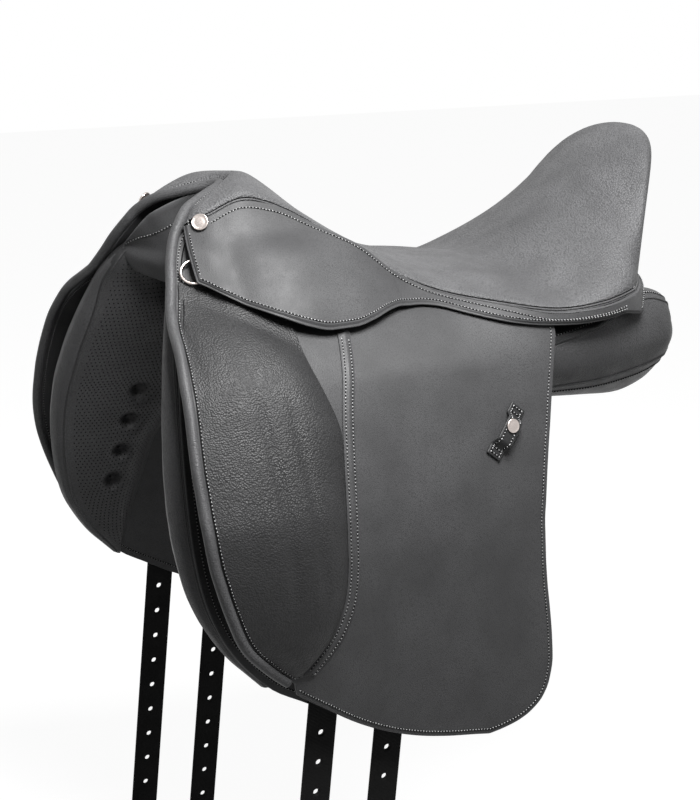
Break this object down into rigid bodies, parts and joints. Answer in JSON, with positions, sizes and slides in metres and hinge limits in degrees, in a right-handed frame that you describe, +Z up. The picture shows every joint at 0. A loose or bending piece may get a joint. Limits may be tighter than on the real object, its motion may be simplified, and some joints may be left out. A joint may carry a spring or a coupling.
{
  "type": "dressage saddle",
  "caption": "Deep-seated black leather saddle with long straight flaps, knee pads, tufted panels, stirrup bars and long girth straps for riding a horse.",
  "frame": {"origin": "on the centre line, under the deepest part of the seat, level with the panels' bearing on the horse's back", "axes": "+Z up, -Y towards the horse's head (the pommel), +X towards the horse's left (near) side"},
  "size_m": [0.456, 0.517, 0.7128],
  "materials": {
    "black_leather": "grained, semi-matt",
    "smooth_black_leather": "smooth, semi-matt",
    "lining": "smooth lining leather",
    "webbing": "coated webbing",
    "steel": "brushed",
    "silver": "polished",
    "moulded_plastic": "moulded",
    "foam": "cut foam"
  },
  "bodies": {
    "saddle": {"bar_rivet_front_left": "steel", "bar_rivet_front_right": "steel", "bar_rivet_rear_left": "steel", "bar_rivet_rear_right": "steel", "cantle_facing": "lining", "flap_head_left": "smooth_black_leather", "flap_head_right": "smooth_black_leather", "front_facing": "lining", "gullet_plate": "steel", "gullet_screw": "steel", "panel_boxing_left": "black_leather", "panel_boxing_right": "black_leather", "panel_left": "black_leather", "panel_right": "black_leather", "point_pocket_left": "smooth_black_leather", "point_pocket_right": "smooth_black_leather", "pommel_roll": "black_leather", "ring_chape_left": "smooth_black_leather", "ring_chape_right": "smooth_black_leather", "seat_cover": "black_leather", "seat_foam": "foam", "seat_webbing": "webbing", "seat_welt": "black_leather", "skirt_left": "smooth_black_leather", "skirt_right": "smooth_black_leather", "skirt_stud_left": "silver", "skirt_stud_right": "silver", "stirrup_bar_left": "steel", "stirrup_bar_right": "steel", "strap_front_left": "webbing", "strap_front_right": "webbing", "strap_rear_left": "webbing", "strap_rear_right": "webbing", "sweat_flap_left": "smooth_black_leather", "sweat_flap_right": "smooth_black_leather", "tree": "moulded_plastic", "web_strap_left": "webbing", "web_strap_right": "webbing"},
    "left_flap": {"flap_left": "smooth_black_leather", "flap_roll_left": "black_leather", "knee_pad_left": "black_leather", "seam_strip_left": "smooth_black_leather", "keeper_left": "smooth_black_leather", "keeper_disc_left": "silver"},
    "left_skirt_lobe": {"skirt_lobe_left": "smooth_black_leather"},
    "left_bar_catch": {"bar_catch_left": "steel"},
    "left_ring": {"ring_left": "silver"},
    "left_front_strap_end": {"strap_tail_front_left": "webbing"},
    "left_rear_strap_end": {"strap_tail_rear_left": "webbing"},
    "right_flap": {"flap_right": "smooth_black_leather", "flap_roll_right": "black_leather", "knee_pad_right": "black_leather", "seam_strip_right": "smooth_black_leather", "keeper_right": "smooth_black_leather", "keeper_disc_right": "silver"},
    "right_skirt_lobe": {"skirt_lobe_right": "smooth_black_leather"},
    "right_bar_catch": {"bar_catch_right": "steel"},
    "right_ring": {"ring_right": "silver"},
    "right_front_strap_end": {"strap_tail_front_right": "webbing"},
    "right_rear_strap_end": {"strap_tail_rear_right": "webbing"}
  },
  "joints": [
    {"name": "left_flap_lift", "type": "hinge", "parent": "saddle", "child": "left_flap", "pos_m": [0.1612, -0.27, 0.062], "axis": [0.0309, -0.9995, 0], "range_deg": [0, 70]},
    {"name": "left_skirt_lift", "type": "hinge", "parent": "saddle", "child": "left_skirt_lobe", "pos_m": [0.082, -0.229, 0.156], "axis": [-0.2244, -0.9427, 0.2469], "range_deg": [0, 55]},
    {"name": "left_bar_catch_turn", "type": "hinge", "parent": "saddle", "child": "left_bar_catch", "pos_m": [0.09921, -0.09784, 0.11125], "axis": [0.6669, 0.1148, -0.7362], "range_deg": [0, 80]},
    {"name": "left_ring_swing", "type": "hinge", "parent": "saddle", "child": "left_ring", "pos_m": [0.08366, -0.22033, 0.12387], "axis": [-0.6194, 0.2635, 0.7395], "range_deg": [0, 8]},
    {"name": "left_front_strap_swing", "type": "hinge", "parent": "saddle", "child": "left_front_strap_end", "pos_m": [0.18442, -0.169, -0.268], "axis": [0, -1, 0], "range_deg": [-40, 70]},
    {"name": "left_rear_strap_swing", "type": "hinge", "parent": "saddle", "child": "left_rear_strap_end", "pos_m": [0.18324, -0.107, -0.268], "axis": [0, -1, 0], "range_deg": [-40, 70]},
    {"name": "right_flap_lift", "type": "hinge", "parent": "saddle", "child": "right_flap", "pos_m": [-0.1612, -0.27, 0.062], "axis": [0.0309, 0.9995, 0], "range_deg": [0, 70]},
    {"name": "right_skirt_lift", "type": "hinge", "parent": "saddle", "child": "right_skirt_lobe", "pos_m": [-0.082, -0.229, 0.156], "axis": [-0.2244, 0.9427, -0.2469], "range_deg": [0, 55]},
    {"name": "right_bar_catch_turn", "type": "hinge", "parent": "saddle", "child": "right_bar_catch", "pos_m": [-0.09921, -0.09784, 0.11125], "axis": [0.6669, -0.1148, 0.7362], "range_deg": [0, 80]},
    {"name": "right_ring_swing", "type": "hinge", "parent": "saddle", "child": "right_ring", "pos_m": [-0.08366, -0.22033, 0.12387], "axis": [-0.6194, -0.2635, -0.7395], "range_deg": [0, 8]},
    {"name": "right_front_strap_swing", "type": "hinge", "parent": "saddle", "child": "right_front_strap_end", "pos_m": [-0.18442, -0.169, -0.268], "axis": [0, 1, 0], "range_deg": [-40, 70]},
    {"name": "right_rear_strap_swing", "type": "hinge", "parent": "saddle", "child": "right_rear_strap_end", "pos_m": [-0.18324, -0.107, -0.268], "axis": [0, 1, 0], "range_deg": [-40, 70]}
  ]
}
